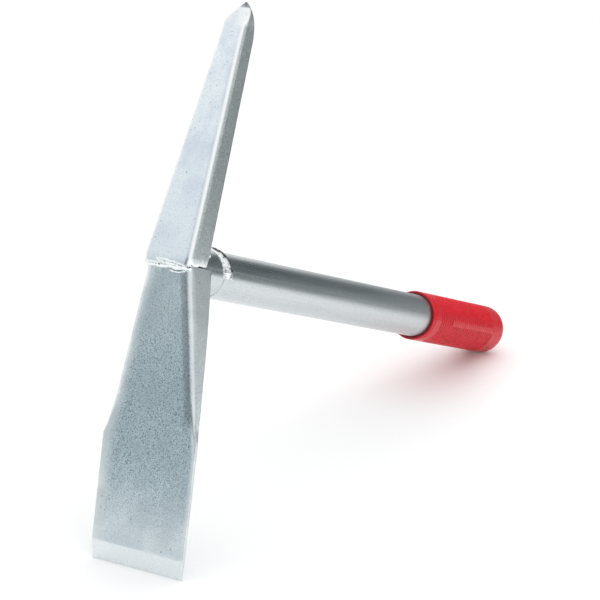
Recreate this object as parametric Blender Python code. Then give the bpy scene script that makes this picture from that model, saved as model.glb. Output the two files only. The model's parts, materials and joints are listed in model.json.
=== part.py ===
"""Hand pickaxe: a welded steel head with a pick arm and a blade arm, on a tube handle with a ribbed grip.

The tool is modelled in its own frame, in metres: X runs along the handle from the head to the grip, Y across
the blade, and Z up the head towards the pick. The handle's axis is the X axis. Heights are measured up from
that axis, and depths down from it. The whole tool is then tipped about Y and moved, so that it stands on its
cutting edge and on the end of its grip, with the origin on the floor under the middle of its box.
"""

import math
from collections import namedtuple

import bmesh
import bpy
from mathutils import Vector

# Clearance that neighbouring solids keep
GAP = 0.0003

# Grip: a moulded sleeve with a smooth collar, a field of ribs, a smooth strip on each side and a closed end
GRIP_START = 0.2846
GRIP_END = 0.3913
GRIP_RADIUS = 0.0146
GRIP_LIP_LENGTH = 0.0021
GRIP_LIP_DEPTH = 0.0010
GRIP_END_ROUND = 0.0068
GRIP_END_WALL = 0.0035
RIB_START = 0.2976
RIB_PITCH = 0.00295
RIB_COUNT = 25
RIB_DEPTH = 0.0006
STRIP_START = 0.3110
STRIP_HALF_ANGLE = math.radians(4.8)

# Handle tube, 25 mm outside with a 1.5 mm wall, pushed over a spigot on the back of the head
TUBE_RADIUS = 0.0125
TUBE_WALL = 0.0015
TUBE_START = 0.0358
TUBE_END = GRIP_END - GRIP_END_WALL - GAP
BORE_RADIUS = TUBE_RADIUS - TUBE_WALL

# Spigot: its front end stands in the head's socket, its collar carries on the tube's line up to the head, and
# the rest fills the tube's bore
SPIGOT_RADIUS = BORE_RADIUS - GAP
SPIGOT_START = 0.0100
SPIGOT_END = 0.0680
SPIGOT_CHAMFER = 0.0015
SOCKET_RADIUS = SPIGOT_RADIUS + GAP
SPIGOT_COLLAR_RADIUS = 0.0123
SPIGOT_COLLAR_START = 0.0221

# The seam between the two arms lies just above the handle's axis, and climbs towards the near side
SEAM_HEIGHT = 0.0014
SEAM_TILT = 0.06

# Pick arm: a straight taper from the seam to its shoulder, and from there a short point
PICK_BASE_FRONT = -0.0049
PICK_BASE_BACK = 0.0139
PICK_BASE_HALF = 0.0144
PICK_CHAMFER = 0.0008
PICK_CHAMFER_HEIGHT = 0.0045
PICK_SHOULDER_HEIGHT = 0.1215
PICK_SHOULDER_FRONT = 0.0124
PICK_SHOULDER_BACK = 0.0261
PICK_SHOULDER_HALF = 0.0071
PICK_FRONT_ROUND = 0.0028
PICK_BACK_ROUND = 0.0016
PICK_LEAN = (PICK_BASE_FRONT - PICK_SHOULDER_FRONT) / (PICK_SHOULDER_HEIGHT - SEAM_HEIGHT)
TIP_HEIGHT = 0.1398
TIP_X = 0.0226
TIP_HALF = 0.0004
TIP_ROUND = 0.0002

# How the point closes: its front carries the taper on, then sweeps back, its sides close late, and its back early
POINT_SWEEP_START = 0.25
POINT_SIDE_POWER = 3.0
POINT_BACK_POWER = 1.3
POINT_STEPS = 10

# Blade arm: its front is one plane that leans back towards the grip, and its back bellies out below the seam
BLADE_FRONT = -0.0014
BLADE_LEAN = 0.176
BLADE_TOP_HALF = 0.0131
BLADE_FLARE = 0.160
BLADE_TOP_BACK = 0.0196
BELLY_BACK = 0.0216
BELLY_DEPTH = 0.0200
BELLY_CURVE = 0.95
BLADE_FRONT_ROUND = 0.0028
BLADE_BACK_ROUND = 0.0018
ROUND_RUNOUT = 0.0300
NECK_STATIONS = (0.0125, 0.0375, 0.0625, 0.0750, 0.0815)

# Below its shoulders the blade is a flat plate, ground on its front to the cutting edge
SHOULDER_DEPTH = 0.0868
SHOULDER_TILT = 0.10
PLATE_HALF = 0.0280
PLATE_THICKNESS = 0.0025
PLATE_ROUND = 0.0006
BEVEL_DEPTH = 0.1454
EDGE_DEPTH = 0.1551
EDGE_HALF = 0.0274
EDGE_LAND = 0.0005
EDGE_ROUND = 0.0001

# Bead across the front of the seam
SEAM_BEAD_RADIUS = 0.0024
SEAM_BEAD_X = -0.0025
SEAM_BEAD_DROP = 0.0004
SEAM_BEAD_HALF = 0.0129
SEAM_BEAD_TURN = 0.0095
SEAM_BEAD_TURN_DEPTH = 0.0032
SEAM_BEAD_STEPS = 18
SEAM_BEAD_WAVES = 9
SEAM_BEAD_RIPPLE = 0.05

# Beads that go round the handle's axis: both roots of the spigot, and the end of the tube
ROOT_BEAD_RADIUS = 0.0019
ROOT_BEAD_SPAN = math.radians(100)
ROOT_BEAD_STEPS = 14
TUBE_BEAD_TOE = 0.0072
TUBE_BEAD_HEEL = 0.0020
TUBE_BEAD_CROWN = 0.0007
TUBE_BEAD_SPAN = math.radians(186)
TUBE_BEAD_STEPS = 32
TUBE_BEAD_ARC_STEPS = 6
TUBE_BEAD_WAVES = 14
TUBE_BEAD_RIPPLE = 0.00015

ROUND_SEGMENTS = 48
CORNER_SEGMENTS = 4
END_SEGMENTS = 5
BEAD_SIDES = 12
MERGE = 0.00001
SHARP = math.radians(35)

Section = namedtuple("Section", "height tilt front back half round_front round_back")


def between(first, last, share):
    return first + (last - first) * share


def steel(name, colour, roughness):
    return material(name, colour, roughness, metallic=1.0)


def material(name, colour, roughness, metallic=0.0):
    made = bpy.data.materials.new(name)
    made.use_nodes = True
    shader = made.node_tree.nodes["Principled BSDF"]
    shader.inputs["Base Color"].default_value = (*colour, 1.0)
    shader.inputs["Roughness"].default_value = roughness
    shader.inputs["Metallic"].default_value = metallic
    made.diffuse_color = (*colour, 1.0)
    return made


def finished(name, bm, frame, surface=None):
    """Closes a bmesh into one object under the tool's frame, shaded smooth between its sharp edges."""
    bmesh.ops.remove_doubles(bm, verts=bm.verts, dist=MERGE)
    bmesh.ops.recalc_face_normals(bm, faces=bm.faces)
    mesh = bpy.data.meshes.new(name)
    bm.to_mesh(mesh)
    bm.free()
    mesh.shade_smooth()
    mesh.set_sharp_from_angle(angle=SHARP)
    made = bpy.data.objects.new(name, mesh)
    bpy.context.scene.collection.objects.link(made)
    made.parent = frame
    if surface:
        mesh.materials.append(surface)
    return made


def as_cutter(made):
    made.hide_render = True
    made.display_type = "WIRE"
    return made


def cut(body, cutter):
    boolean = body.modifiers.new("cut_" + cutter.name, "BOOLEAN")
    boolean.operation = "DIFFERENCE"
    boolean.solver = "EXACT"
    boolean.object = cutter


def ring(bm, points):
    """A closed ring of edges through these points."""
    verts = [bm.verts.new(point) for point in points]
    return [bm.edges.new((verts[i - 1], verts[i])) for i in range(len(verts))]


def skin(bm, rings):
    """Joins a row of rings into one closed body, with a face over the first ring and over the last."""
    for lower, upper in zip(rings, rings[1:]):
        bmesh.ops.bridge_loops(bm, edges=lower + upper)
    for end in (rings[0], rings[-1]):
        bmesh.ops.contextual_create(bm, geom=end)


def rounded_corner(corner, before, after, radius):
    """Points from one side to the next round a corner, which cuts radius off each side."""
    first = (before - corner).normalized() * radius
    last = (after - corner).normalized() * radius
    for step in range(CORNER_SEGMENTS + 1):
        angle = math.pi / 2 * step / CORNER_SEGMENTS
        yield corner + first * (1 - math.sin(angle)) + last * (1 - math.cos(angle))


def section_ring(bm, section, lean):
    """A rounded section across an arm of the head, tilted so that its near side is the higher one.

    A point moves along X by lean for each metre that it is tilted down, which keeps the arm's front plane.
    """
    corners = [
        (Vector((section.front, -section.half)), section.round_front),
        (Vector((section.back, -section.half)), section.round_back),
        (Vector((section.back, section.half)), section.round_back),
        (Vector((section.front, section.half)), section.round_front),
    ]
    points = []
    for i, (corner, radius) in enumerate(corners):
        before = corners[i - 1][0]
        after = corners[(i + 1) % len(corners)][0]
        for x, y in rounded_corner(corner, before, after, radius):
            down = section.tilt * y
            points.append((x + lean * down, y, section.height - down))
    return ring(bm, points)


def pick_taper(height, tilt=0.0, inset=0.0):
    """A section of the pick arm's straight taper, drawn in by inset at its front and its sides."""
    share = (height - SEAM_HEIGHT) / (PICK_SHOULDER_HEIGHT - SEAM_HEIGHT)
    return Section(
        height,
        tilt,
        between(PICK_BASE_FRONT, PICK_SHOULDER_FRONT, share) + inset,
        between(PICK_BASE_BACK, PICK_SHOULDER_BACK, share),
        between(PICK_BASE_HALF, PICK_SHOULDER_HALF, share) - inset,
        PICK_FRONT_ROUND,
        PICK_BACK_ROUND,
    )


def pick_point(share):
    """A section of the pick's point; share is 0 at the shoulder and 1 at the tip."""
    height = between(PICK_SHOULDER_HEIGHT, TIP_HEIGHT, share)
    taper_front = PICK_SHOULDER_FRONT - PICK_LEAN * (height - PICK_SHOULDER_HEIGHT)
    swept = max(0.0, (share - POINT_SWEEP_START) / (1 - POINT_SWEEP_START))
    swept = swept * swept * (3 - 2 * swept)
    return Section(
        height,
        0.0,
        between(taper_front, TIP_X - TIP_HALF, swept),
        between(TIP_X + TIP_HALF, PICK_SHOULDER_BACK, (1 - share) ** POINT_BACK_POWER),
        between(PICK_SHOULDER_HALF, TIP_HALF, share ** POINT_SIDE_POWER),
        between(PICK_FRONT_ROUND, TIP_ROUND, share),
        between(PICK_BACK_ROUND, TIP_ROUND, share),
    )


def pick_sections():
    """The pick arm's sections from the seam to the tip."""
    base = SEAM_HEIGHT + GAP / 2
    sections = [
        pick_taper(base, SEAM_TILT, PICK_CHAMFER),
        pick_taper(base + PICK_CHAMFER_HEIGHT, SEAM_TILT),
    ]
    sections += [pick_point(step / POINT_STEPS) for step in range(POINT_STEPS + 1)]
    return sections


def blade_front(depth):
    """The X of the blade arm's front plane."""
    return BLADE_FRONT + BLADE_LEAN * depth


def blade_neck(depth):
    """A section of the blade arm between the seam and its shoulders, whose rounded edges run out downwards."""
    rounded = min(1.0, (SHOULDER_DEPTH - depth) / ROUND_RUNOUT)
    return Section(
        -depth,
        between(SEAM_TILT, SHOULDER_TILT, depth / SHOULDER_DEPTH),
        blade_front(depth),
        BELLY_BACK - BELLY_CURVE * (depth - BELLY_DEPTH) ** 2,
        BLADE_TOP_HALF + BLADE_FLARE * depth,
        between(PLATE_ROUND, BLADE_FRONT_ROUND, rounded),
        between(PLATE_ROUND, BLADE_BACK_ROUND, rounded),
    )


def blade_plate(depth, tilt, half):
    """A section of the flat plate under the shoulders."""
    front = blade_front(depth)
    return Section(-depth, tilt, front, front + PLATE_THICKNESS, half, PLATE_ROUND, PLATE_ROUND)


def blade_sections():
    """The blade arm's sections from the seam down to the cutting edge, where only the front is ground."""
    top = blade_neck(GAP / 2 - SEAM_HEIGHT)._replace(tilt=SEAM_TILT, back=BLADE_TOP_BACK)
    back = blade_front(EDGE_DEPTH) + PLATE_THICKNESS
    return [
        top,
        *[blade_neck(depth) for depth in NECK_STATIONS],
        blade_plate(SHOULDER_DEPTH, SHOULDER_TILT, PLATE_HALF),
        blade_plate(BEVEL_DEPTH, 0.0, PLATE_HALF),
        Section(-EDGE_DEPTH, 0.0, back - EDGE_LAND, back, EDGE_HALF, EDGE_ROUND, EDGE_ROUND),
    ]


def arm(name, sections, lean, frame, surface):
    bm = bmesh.new()
    skin(bm, [section_ring(bm, section, lean) for section in sections])
    return finished(name, bm, frame, surface)


def bead(name, path, radii, up, frame, surface=None):
    """A round bar along a path, with a radius for each of its points; up is a direction across the path."""
    bm = bmesh.new()
    rings = []
    for i, point in enumerate(path):
        along = (path[min(i + 1, len(path) - 1)] - path[max(i - 1, 0)]).normalized()
        side = along.cross(up).normalized()
        across = side.cross(along)
        turns = [math.tau * k / BEAD_SIDES for k in range(BEAD_SIDES)]
        rings.append(ring(bm, [point + radii[i] * (side * math.cos(a) + across * math.sin(a)) for a in turns]))
    skin(bm, rings)
    return finished(name, bm, frame, surface)


def seam_bead(name, ripple, extra, frame, surface=None):
    """The bead across the front of the seam, which turns back round both rounded edges of the head."""
    path = []
    radii = []
    for step in range(SEAM_BEAD_STEPS + 1):
        share = 2 * step / SEAM_BEAD_STEPS - 1
        y = share * (SEAM_BEAD_HALF + extra)
        turned_in = max(0.0, (abs(y) - SEAM_BEAD_TURN) / (SEAM_BEAD_HALF - SEAM_BEAD_TURN))
        x = SEAM_BEAD_X + SEAM_BEAD_TURN_DEPTH * turned_in ** 2
        path.append(Vector((x, y, SEAM_HEIGHT - SEAM_BEAD_DROP - SEAM_TILT * y)))
        wave = math.cos(math.pi * SEAM_BEAD_WAVES * share)
        radii.append(SEAM_BEAD_RADIUS * (1 + ripple * wave) + extra)
    return bead(name, path, radii, Vector((0, 0, 1)), frame, surface)


def seam_groove_cutter(frame):
    """The space that both arms leave round the seam's bead."""
    return as_cutter(seam_bead("seam_groove_cutter", 0.0, SEAM_BEAD_RADIUS * SEAM_BEAD_RIPPLE + GAP, frame))


def root_bead(name, x, inside, middle, frame, surface):
    """A bead round part of the spigot, against the back of the head; middle is its angle from +Y."""
    reach = inside + ROOT_BEAD_RADIUS
    path = []
    for step in range(ROOT_BEAD_STEPS + 1):
        angle = middle + ROOT_BEAD_SPAN * (step / ROOT_BEAD_STEPS - 0.5)
        path.append(Vector((x, reach * math.cos(angle), reach * math.sin(angle))))
    return bead(name, path, [ROOT_BEAD_RADIUS] * len(path), Vector((1, 0, 0)), frame, surface)


def root_beads(frame, surface):
    """The beads above and below the spigot, each clear of the arm behind it; the lower lies on the collar."""
    stand_off = ROOT_BEAD_RADIUS + GAP
    top_of_bead = SOCKET_RADIUS + 2 * ROOT_BEAD_RADIUS
    upper = pick_taper(top_of_bead).back + stand_off
    lower = BELLY_BACK + stand_off
    on_collar = SPIGOT_COLLAR_RADIUS + GAP
    return [
        root_bead("root_weld_upper", upper, SOCKET_RADIUS, math.pi / 2, frame, surface),
        root_bead("root_weld_lower", lower, on_collar, -math.pi / 2, frame, surface),
    ]


def tube_bead(frame, surface):
    """The bead over the upper half of the joint, which lies on the tube's end and on the spigot's collar."""
    on_tube = TUBE_RADIUS + GAP
    heel = TUBE_START - TUBE_BEAD_HEEL
    toe = TUBE_START + TUBE_BEAD_TOE
    outline = []
    for step in range(TUBE_BEAD_ARC_STEPS + 1):
        angle = math.pi * step / TUBE_BEAD_ARC_STEPS
        outline.append((between(heel, toe, (1 + math.cos(angle)) / 2), on_tube, math.sin(angle)))
    bm = bmesh.new()
    rings = []
    for step in range(TUBE_BEAD_STEPS + 1):
        share = step / TUBE_BEAD_STEPS
        angle = math.pi / 2 + TUBE_BEAD_SPAN * (share - 0.5)
        crown = TUBE_BEAD_CROWN + TUBE_BEAD_RIPPLE * math.cos(math.tau * TUBE_BEAD_WAVES * share)
        points = []
        for x, base, loose in outline:
            reach = base + loose * crown
            points.append((x, reach * math.cos(angle), reach * math.sin(angle)))
        rings.append(ring(bm, points))
    skin(bm, rings)
    return finished("tube_weld", bm, frame, surface)


def turned(outline, closed):
    """A bmesh turned round the handle's axis from an outline of (x, radius) points."""
    bm = bmesh.new()
    verts = [bm.verts.new((x, -radius, 0.0)) for x, radius in outline]
    for i in range(0 if closed else 1, len(verts)):
        bm.edges.new((verts[i - 1], verts[i]))
    bmesh.ops.spin(bm, geom=bm.verts[:] + bm.edges[:], axis=(1, 0, 0), cent=(0, 0, 0),
                   angle=math.tau, steps=ROUND_SEGMENTS, use_merge=True)
    bmesh.ops.remove_doubles(bm, verts=bm.verts, dist=MERGE)
    return bm


def spigot(frame, surface):
    outline = [
        (SPIGOT_START, 0.0),
        (SPIGOT_START, SPIGOT_RADIUS),
        (SPIGOT_COLLAR_START, SPIGOT_RADIUS),
        (SPIGOT_COLLAR_START, SPIGOT_COLLAR_RADIUS),
        (TUBE_START - GAP, SPIGOT_COLLAR_RADIUS),
        (TUBE_START - GAP, SPIGOT_RADIUS),
        (SPIGOT_END - SPIGOT_CHAMFER, SPIGOT_RADIUS),
        (SPIGOT_END, SPIGOT_RADIUS - SPIGOT_CHAMFER),
        (SPIGOT_END, 0.0),
    ]
    return finished("spigot", turned(outline, closed=False), frame, surface)


def socket_cutter(frame):
    """The blind round socket in the back of the head that the spigot's end stands in."""
    outline = [
        (SPIGOT_START - GAP, 0.0),
        (SPIGOT_START - GAP, SOCKET_RADIUS),
        (TUBE_START, SOCKET_RADIUS),
        (TUBE_START, 0.0),
    ]
    return as_cutter(finished("socket_cutter", turned(outline, closed=False), frame))


def handle_tube(frame, surface):
    outline = [
        (TUBE_START, BORE_RADIUS),
        (TUBE_START, TUBE_RADIUS),
        (TUBE_END, TUBE_RADIUS),
        (TUBE_END, BORE_RADIUS),
    ]
    return finished("handle_tube", turned(outline, closed=True), frame, surface)


def grip_outline():
    """The grip's half section: outside from the mouth to the closed end, then back along its bore."""
    points = [
        (GRIP_START, GRIP_RADIUS - GRIP_LIP_DEPTH),
        (GRIP_START + GRIP_LIP_LENGTH, GRIP_RADIUS),
    ]
    for rib in range(RIB_COUNT):
        crest = RIB_START + rib * RIB_PITCH
        points.append((crest, GRIP_RADIUS))
        points.append((crest + RIB_PITCH / 2, GRIP_RADIUS - RIB_DEPTH))
    points.append((RIB_START + RIB_COUNT * RIB_PITCH, GRIP_RADIUS))
    for step in range(END_SEGMENTS + 1):
        angle = math.pi / 2 * step / END_SEGMENTS
        points.append((GRIP_END - GRIP_END_ROUND * (1 - math.sin(angle)),
                       GRIP_RADIUS - GRIP_END_ROUND * (1 - math.cos(angle))))
    bore = TUBE_RADIUS + GAP
    points += [
        (GRIP_END, 0.0),
        (GRIP_END - GRIP_END_WALL, 0.0),
        (GRIP_END - GRIP_END_WALL, bore),
        (GRIP_START, bore),
    ]
    return points


def fill_side_strips(bm):
    """Fills the ribs' valleys along both sides of the grip, three rows of points wide, as a smooth strip."""
    row = math.tau / ROUND_SEGMENTS
    shell = (GRIP_RADIUS - RIB_DEPTH + TUBE_RADIUS) / 2
    for vert in bm.verts:
        reach = math.hypot(vert.co.y, vert.co.z)
        if reach < shell or vert.co.x > GRIP_END - GRIP_END_ROUND:
            continue
        side = math.copysign(1.0, vert.co.y)
        rows_off = round(math.atan2(vert.co.z, abs(vert.co.y)) / row)
        if abs(rows_off) > 1:
            continue
        if vert.co.x > STRIP_START:
            reach = GRIP_RADIUS
        vert.co.y = side * reach * math.cos(rows_off * STRIP_HALF_ANGLE)
        vert.co.z = reach * math.sin(rows_off * STRIP_HALF_ANGLE)


def grip(frame, surface):
    bm = turned(grip_outline(), closed=True)
    fill_side_strips(bm)
    return finished("grip", bm, frame, surface)


def stand_on_floor(frame, pieces):
    """Tips the tool until its edge and its grip's end are level, and centres its box over the origin."""
    edge = Vector((blade_front(EDGE_DEPTH) + PLATE_THICKNESS, -EDGE_DEPTH))
    rim = Vector((GRIP_END - GRIP_END_ROUND, GRIP_END_ROUND - GRIP_RADIUS))
    reach = rim - edge
    frame.rotation_euler.y = math.atan2(reach.y, reach.x) - math.asin(GRIP_END_ROUND / reach.length)
    bpy.context.view_layer.update()
    corners = [made.matrix_world @ vert.co for made in pieces for vert in made.data.vertices]
    low = Vector([min(corner[axis] for corner in corners) for axis in range(3)])
    high = Vector([max(corner[axis] for corner in corners) for axis in range(3)])
    frame.location = Vector((-(low.x + high.x) / 2, -(low.y + high.y) / 2, -low.z))


def main():
    for old in list(bpy.data.objects):
        bpy.data.objects.remove(old, do_unlink=True)
    frame = bpy.data.objects.new("tool_frame", None)
    bpy.context.scene.collection.objects.link(frame)

    zinc = steel("zinc_plated_steel", (0.62, 0.66, 0.69), 0.34)
    forged = steel("zinc_plated_forging", (0.56, 0.60, 0.64), 0.42)
    weld = steel("zinc_plated_weld", (0.75, 0.78, 0.80), 0.28)
    red_pvc = material("red_soft_pvc", (0.61, 0.017, 0.032), 0.36)

    pick_arm = arm("pick_arm", pick_sections(), PICK_LEAN, frame, zinc)
    blade_arm = arm("blade_arm", blade_sections(), BLADE_LEAN, frame, forged)
    groove = seam_groove_cutter(frame)
    socket = socket_cutter(frame)
    for body in (pick_arm, blade_arm):
        cut(body, groove)
        cut(body, socket)

    pieces = [
        pick_arm,
        blade_arm,
        seam_bead("seam_weld", SEAM_BEAD_RIPPLE, 0.0, frame, weld),
        spigot(frame, zinc),
        *root_beads(frame, weld),
        handle_tube(frame, zinc),
        tube_bead(frame, weld),
        grip(frame, red_pvc),
    ]
    stand_on_floor(frame, pieces)


main()
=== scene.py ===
"""Looks of a hand pickaxe: zinc plated welded steel head, tube handle and ribbed red grip.

Pieces are modelled in the tool's own frame, in metres: X runs along the handle from the head to the grip, Y
across the blade, and Z up the head towards the pick. The handle's axis is the X axis. Heights are measured up
from that axis, and depths down from it. Each finished piece is then placed by the frame of the CAD tube.
"""

import json
import math
from collections import namedtuple

import bmesh
import bpy
from mathutils import Matrix, Vector, noise

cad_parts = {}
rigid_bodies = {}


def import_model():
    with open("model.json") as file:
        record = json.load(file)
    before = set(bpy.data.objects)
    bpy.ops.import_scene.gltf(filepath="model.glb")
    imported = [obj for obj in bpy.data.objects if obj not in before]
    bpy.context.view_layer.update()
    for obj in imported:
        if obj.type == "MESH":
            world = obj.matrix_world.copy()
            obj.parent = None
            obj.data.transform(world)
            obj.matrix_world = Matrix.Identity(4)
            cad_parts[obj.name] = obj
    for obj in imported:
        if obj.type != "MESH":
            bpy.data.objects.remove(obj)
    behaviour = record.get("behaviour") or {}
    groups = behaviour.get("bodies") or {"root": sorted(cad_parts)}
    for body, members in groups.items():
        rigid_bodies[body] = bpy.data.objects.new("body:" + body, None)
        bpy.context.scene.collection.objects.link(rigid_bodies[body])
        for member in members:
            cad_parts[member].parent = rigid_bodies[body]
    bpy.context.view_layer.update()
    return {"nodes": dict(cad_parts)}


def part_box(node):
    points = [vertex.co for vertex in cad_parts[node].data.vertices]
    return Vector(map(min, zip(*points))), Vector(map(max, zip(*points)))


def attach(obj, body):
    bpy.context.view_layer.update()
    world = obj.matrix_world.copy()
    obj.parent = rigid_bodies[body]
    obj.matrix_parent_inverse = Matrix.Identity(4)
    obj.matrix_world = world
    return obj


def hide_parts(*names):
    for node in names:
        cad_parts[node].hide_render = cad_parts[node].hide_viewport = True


MM = 0.001

# Distance within which a point counts as lying on a plane
TOUCHING = 0.01 * MM

# Handle tube, and the spigot that it is pushed over, whose collar carries on the tube's line up to the head
TUBE_START = 35.8 * MM
TUBE_END = 387.5 * MM
TUBE_RADIUS = 12.5 * MM
TUBE_WALL = 1.5 * MM
TUBE_EDGE_ROUND = 0.35 * MM
SPIGOT_START = 10.0 * MM
SPIGOT_END = 68.0 * MM
SPIGOT_RADIUS = 10.7 * MM
SPIGOT_CHAMFER = 1.5 * MM
COLLAR_RADIUS = 12.3 * MM
COLLAR_END = 35.5 * MM
COLLAR_FOOT = 21.75 * MM
COLLAR_TOP = 16.2 * MM

# Grip. A rib's section is half an ellipse, cut off a little above its foot: a fullness of 1 would keep the foot
GRIP_START = 284.6 * MM
GRIP_END = 391.3 * MM
GRIP_RADIUS = 14.6 * MM
GRIP_BORE = 12.56 * MM
GRIP_END_ROUND = 6.8 * MM
GRIP_END_WALL = 3.5 * MM
LIP_ROUND = 0.8 * MM
LIP_GROOVE = 0.8 * MM
LIP_GROOVE_X = 286.9 * MM
SMOOTH_START = 287.5 * MM
RIB_START = 297.6 * MM
RIB_PITCH = 2.95 * MM
RIB_COUNT = 25
RIB_DEPTH = 1.1 * MM
RIB_FULLNESS = 0.99
RIB_STEPS = 10
STRIP_START = 311.0 * MM
STRIP_HALF_ANGLE = math.radians(6.5)
STRIP_EDGE_ANGLE = math.radians(1.5)
PARTING_HALF_WIDTH = 0.35 * MM
PARTING_HEIGHT = 0.12 * MM

# Seam between the two arms, which climbs towards the near side, where it gapes in a short slit
SEAM_HEIGHT = 1.4 * MM
SEAM_TILT = 0.06
SEAM_GAP = 0.08 * MM
SLIT_HEIGHT = 0.85 * MM
SLIT_START = 4.0 * MM
SLIT_END = 13.9 * MM
SLIT_FROM_Y = -11.0 * MM

# Pick arm
PICK_BASE_FRONT = -4.9 * MM
PICK_BASE_BACK = 13.9 * MM
PICK_BASE_HALF = 14.4 * MM
PICK_CHAMFER = 0.8 * MM
PICK_CHAMFER_HEIGHT = 4.5 * MM
PICK_SHOULDER_HEIGHT = 121.5 * MM
PICK_SHOULDER_FRONT = 12.4 * MM
PICK_SHOULDER_BACK = 26.1 * MM
PICK_SHOULDER_HALF = 7.1 * MM
PICK_FRONT_ROUND = 3.6 * MM
PICK_BACK_ROUND = 2.0 * MM
TIP_HEIGHT = 139.8 * MM
TIP_X = 22.6 * MM
TIP_HALF = 0.4 * MM
TIP_ROUND = 0.2 * MM
POINT_SWEEP_START = 0.25

# Blade arm: neck, shoulders, flat plate and ground bevel
BLADE_FRONT = -1.4 * MM
BLADE_LEAN = 0.176
BLADE_TOP_HALF = 13.1 * MM
BLADE_FLARE = 0.160
BELLY_BACK = 21.6 * MM
BELLY_DEPTH = 20.0 * MM
BELLY_CURVE = 0.95
BLADE_FRONT_ROUND = 3.4 * MM
BLADE_BACK_ROUND = 1.8 * MM
ROUND_RUNOUT = 22.0 * MM
NECK_END = 81.5 * MM
SHOULDER_DEPTH = 86.8 * MM
SHOULDER_TILT = 0.10
PLATE_HALF = 28.0 * MM
PLATE_THICKNESS = 2.5 * MM
PLATE_ROUND = 0.6 * MM
BEVEL_DEPTH = 145.4 * MM
EDGE_DEPTH = 155.1 * MM
EDGE_HALF = 27.4 * MM
EDGE_LAND = 0.5 * MM
EDGE_ROUND = 0.1 * MM

# Slope with which the press lets the neck's front fall away towards its rounded edges
FALL_WIDTH = 6.4 * MM
FALL_SOFTNESS = 1.4 * MM
NEAR_FALL = 0.24
FAR_FALL = 0.10

# Weld beads
SEAM_BEAD_RADIUS = 2.2 * MM
SEAM_BEAD_X = -2.4 * MM
SEAM_BEAD_DROP = 0.4 * MM
SEAM_BEAD_HALF = 12.0 * MM
SEAM_BEAD_TURN = 9.0 * MM
SEAM_BEAD_TURN_DEPTH = 1.8 * MM
SEAM_SAG_Y = -6.0 * MM
SEAM_PITS = ((-12.5 * MM, 1.4 * MM), (-13.6 * MM, 1.5 * MM))

# Runs of weld metal laid over the seam's bead: both ends, the sag between them and the radius, in millimetres
SEAM_RUNS = (
    ((-3.2, 12.6, 0.3), (-3.8, 3.0, 0.8), 0.2, 1.4),
    ((-4.1, 6.5, 2.8), (-3.5, -11.2, 1.3), -0.2, 1.5),
    ((-1.4, -0.8, -1.5), (-1.5, -10.6, -0.6), 0.9, 0.6),
    ((-1.8, -10.9, 1.4), (-0.9, -13.9, 1.5), 0.0, 2.2),
)
ROOT_BEAD_RADIUS = 1.9 * MM
ROOT_BEAD_REACH = 13.6 * MM
ROOT_BEAD_SPAN = math.radians(100)
ROOT_BEAD_ENDS = math.radians(8)
UPPER_ROOT_X = 17.6 * MM
LOWER_ROOT_X = 23.8 * MM
TUBE_BEAD_HEEL = TUBE_START - 2.3 * MM
TUBE_BEAD_TOE = TUBE_START + 7.2 * MM
TUBE_BEAD_START = math.radians(183)
TUBE_BEAD_SPAN = math.radians(186)
TUBE_BEAD_RUNOUT = math.radians(16)
TUBE_BEAD_HUMP = 1.5 * MM
TUBE_BEAD_RIM = 0.22 * MM
WELD_PITCH = 1.9 * MM

# Rings of the head's arms: steps over each rounded corner, and cuts across the arm and through it
CORNER_STEPS = 8
PICK_CUTS = (18, 18)
BLADE_CUTS = (56, 9)

# Hollows that the hammer leaves in a forging, and their width on each arm
HOLLOW_DEPTH = 0.10 * MM
PICK_HOLLOWS = 16 * MM
BLADE_HOLLOWS = 18 * MM

# Refraction of the grip: below the 1.53 of clean PVC, since its faintly bloomed skin reflects less
GRIP_REFRACTION = 1.42

# Camera of the photograph, in the row frame, and its frame in pixels
CAMERA_PLACE = Vector((-1.2522, -0.7059, 0.5836))
CAMERA_AIM = Vector((0.8175, 0.4747, -0.3263))
CAMERA_ROLL = math.radians(0.95)
CAMERA_FOCAL_PX = 2707.2
PHOTO_PX = 600
SENSOR_MM = 36.0

# Studio. At a level of 1, the room or the top light shows a colour as it is written, and the softbox's face is
# as bright as white paper.
ROOM_LEVEL = 0.22
TOP_LEVEL = 0.79
TOP_SPREAD = math.radians(100)
TOP_FROM = Vector((0.38, 0.12, 2))
SOFTBOX_LEVEL = 1.05
SOFTBOX_SIZE = (1.3, 0.9)
SOFTBOX_PLACE = Vector((-0.55, -0.95, 0.62))
SOFTBOX_TARGET = Vector((-0.02, 0, 0.12))
FLOOR_LIFT = 0.09
FLOOR_SIZE = 12.0

# Cards for reflections, in the row frame and in metres: name, middle, facing, size, shade, and the share of
# the way in from each side over which it fades
CARDS = (
    ("far_card", (0.90, -0.23, 0.35), (-1, 0, 0), (1.40, 1.0), "575e60", (0.6, 0.6)),
    ("far_floor_card", (0.82, -0.45, 0.001), (0, 0, 1), (1.36, 2.2), "7b8182", (0.32, 0.35)),
    ("right_far_card", (0.14, -1.20, 0.30), (-0.3, 0.95, 0), (1.30, 1.2), "999fa0", (0.85, 0.3)),
    ("camera_card", (-1.06, -0.15, 0.33), (1, 0, 0), (0.75, 0.95), "2c3032", (0.4, 0.35)),
    ("high_camera_card", (-0.89, -0.35, 0.80), (0.72, 0.35, -0.60), (0.75, 0.75), "dde4e8", (0.7, 0.7)),
    ("left_card", (-1.00, 0.48, 0.11), (1, -0.4, 0), (0.80, 0.42), "a1adb2", (0.4, 0.4)),
    ("high_left_card", (-0.92, 0.52, 0.81), (0.70, -0.47, -0.54), (1.3, 1.3), "f0f7fc", (0.4, 0.4)),
)

Section = namedtuple("Section", "height tilt front back half round_front round_back")


def between(first, last, share):
    return first + (last - first) * share


def eased(share):
    """0 below 0, 1 above 1, and a smooth step between them."""
    share = min(1.0, max(0.0, share))
    return share * share * (3 - 2 * share)


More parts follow.
